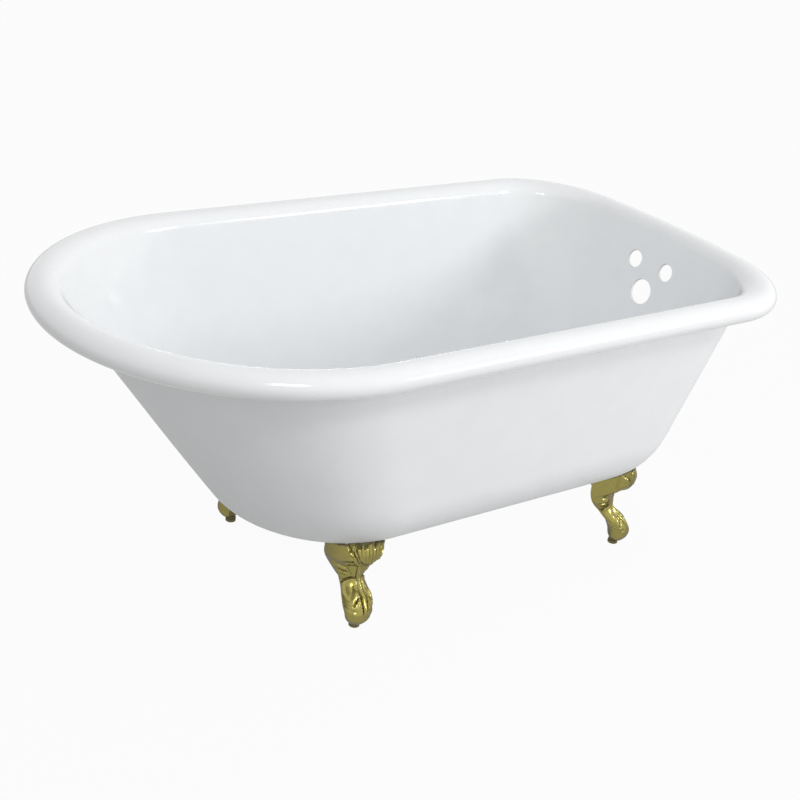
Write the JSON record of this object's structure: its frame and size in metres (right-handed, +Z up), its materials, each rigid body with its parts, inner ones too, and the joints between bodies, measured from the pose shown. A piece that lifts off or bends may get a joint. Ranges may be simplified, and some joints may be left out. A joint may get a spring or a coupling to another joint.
{
  "type": "claw-foot bathtub",
  "caption": "Free-standing roll-top bath with a round sloping head end, square tap end with tap and overflow holes, on hollow claw-and-ball feet with levellers.",
  "frame": {"origin": "on the floor, at mid-length and mid-width of the bath", "axes": "+X from the round head end to the tap end, +Y to the left of a bather who faces the taps, +Z up"},
  "size_m": [1.4, 0.762, 0.584],
  "materials": {
    "enamelled_iron": "gloss porcelain enamel on cast iron",
    "foot_brass": "polished",
    "zinc_steel": "zinc plated",
    "leveller_brass": "dull"
  },
  "bodies": {
    "bath": {"tub_shell": "enamelled_iron", "claw_foot_head_right": "foot_brass", "claw_foot_head_left": "foot_brass", "claw_foot_tap_right": "foot_brass", "claw_foot_tap_left": "foot_brass", "foot_stud_head_right": "zinc_steel", "foot_stud_head_left": "zinc_steel", "foot_stud_tap_right": "zinc_steel", "foot_stud_tap_left": "zinc_steel", "foot_washer_head_right": "zinc_steel", "foot_washer_head_left": "zinc_steel", "foot_washer_tap_right": "zinc_steel", "foot_washer_tap_left": "zinc_steel", "foot_nut_head_right": "zinc_steel", "foot_nut_head_left": "zinc_steel", "foot_nut_tap_right": "zinc_steel", "foot_nut_tap_left": "zinc_steel"},
    "pad_head_right": {"leveller_pad_head_right": "leveller_brass"},
    "screw_head_right": {"leveller_screw_head_right": "leveller_brass"},
    "pad_head_left": {"leveller_pad_head_left": "leveller_brass"},
    "screw_head_left": {"leveller_screw_head_left": "leveller_brass"},
    "pad_tap_right": {"leveller_pad_tap_right": "leveller_brass"},
    "screw_tap_right": {"leveller_screw_tap_right": "leveller_brass"},
    "pad_tap_left": {"leveller_pad_tap_left": "leveller_brass"},
    "screw_tap_left": {"leveller_screw_tap_left": "leveller_brass"}
  },
  "joints": [
    {"name": "leveller_travel_head_right", "type": "slide", "parent": "bath", "child": "pad_head_right", "axis": [0, 0, -1], "range_m": [0, 0.01]},
    {"name": "leveller_turn_head_right", "type": "hinge", "parent": "pad_head_right", "child": "screw_head_right", "pos_m": [-0.188, -0.2045, 0.03], "axis": [0, 0, -1], "range_deg": [0, 2401]},
    {"name": "leveller_travel_head_left", "type": "slide", "parent": "bath", "child": "pad_head_left", "axis": [0, 0, -1], "range_m": [0, 0.01]},
    {"name": "leveller_turn_head_left", "type": "hinge", "parent": "pad_head_left", "child": "screw_head_left", "pos_m": [-0.188, 0.2045, 0.03], "axis": [0, 0, -1], "range_deg": [0, 2401]},
    {"name": "leveller_travel_tap_right", "type": "slide", "parent": "bath", "child": "pad_tap_right", "axis": [0, 0, -1], "range_m": [0, 0.01]},
    {"name": "leveller_turn_tap_right", "type": "hinge", "parent": "pad_tap_right", "child": "screw_tap_right", "pos_m": [0.469, -0.1865, 0.03], "axis": [0, 0, -1], "range_deg": [0, 2401]},
    {"name": "leveller_travel_tap_left", "type": "slide", "parent": "bath", "child": "pad_tap_left", "axis": [0, 0, -1], "range_m": [0, 0.01]},
    {"name": "leveller_turn_tap_left", "type": "hinge", "parent": "pad_tap_left", "child": "screw_tap_left", "pos_m": [0.469, 0.1865, 0.03], "axis": [0, 0, -1], "range_deg": [0, 2401]}
  ],
  "couplings": [
    {"joint": "leveller_turn_head_right", "follows": "leveller_travel_head_right", "rad_per_m": 4188.8},
    {"joint": "leveller_turn_head_left", "follows": "leveller_travel_head_left", "rad_per_m": 4188.8},
    {"joint": "leveller_turn_tap_right", "follows": "leveller_travel_tap_right", "rad_per_m": 4188.8},
    {"joint": "leveller_turn_tap_left", "follows": "leveller_travel_tap_left", "rad_per_m": 4188.8}
  ]
}
